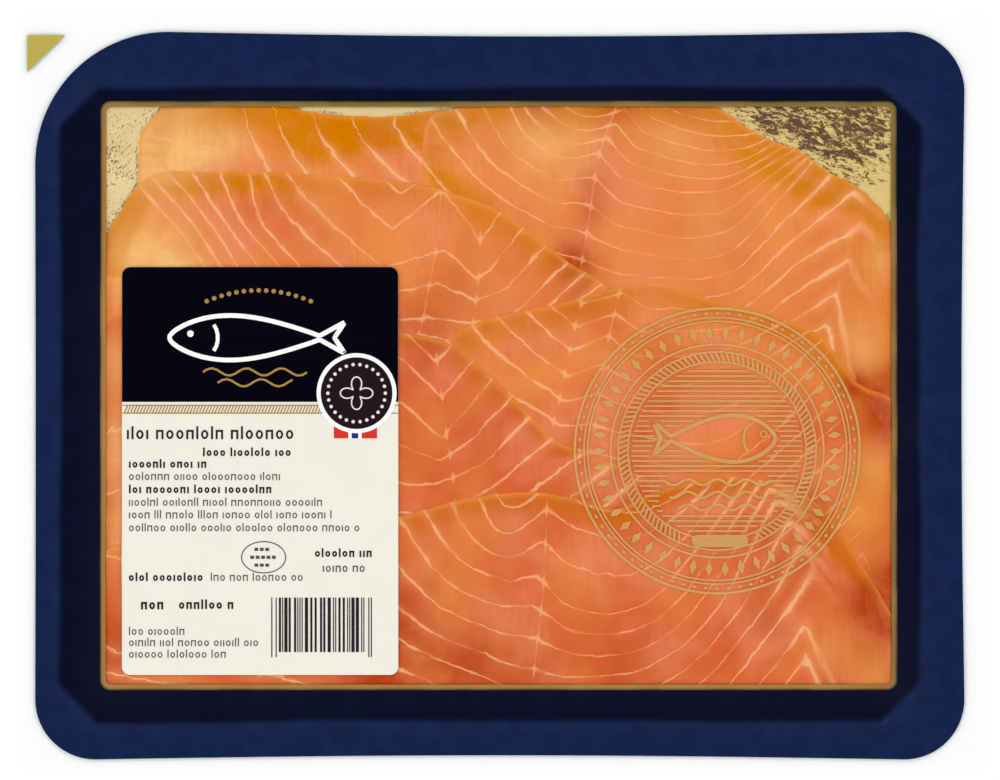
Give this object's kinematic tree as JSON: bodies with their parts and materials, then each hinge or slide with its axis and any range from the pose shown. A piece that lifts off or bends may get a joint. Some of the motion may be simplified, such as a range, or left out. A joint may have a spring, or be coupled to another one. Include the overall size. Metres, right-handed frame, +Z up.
{
  "type": "pack of smoked salmon",
  "caption": "Flat vacuum pack of sliced smoked salmon: clear film with a dark printed frame, gold foil board with cut corners inside, and a paper label on the front.",
  "frame": {"origin": "centre of the flat back of the pack, on the surface that it lies on", "axes": "+X along the long side, +Y across towards the edge with the peel corner, +Z up out of the front"},
  "size_m": [0.235, 0.184, 0.0068],
  "materials": {
    "film": "gloss",
    "printed_film": "gloss",
    "gold_print": "satin",
    "foil_board": "satin",
    "salmon": "gloss",
    "label_paper": "satin",
    "label_ink": "satin"
  },
  "bodies": {
    "root": {"sealed_pouch": "film", "label": "label_paper"}
  },
  "joints": []
}
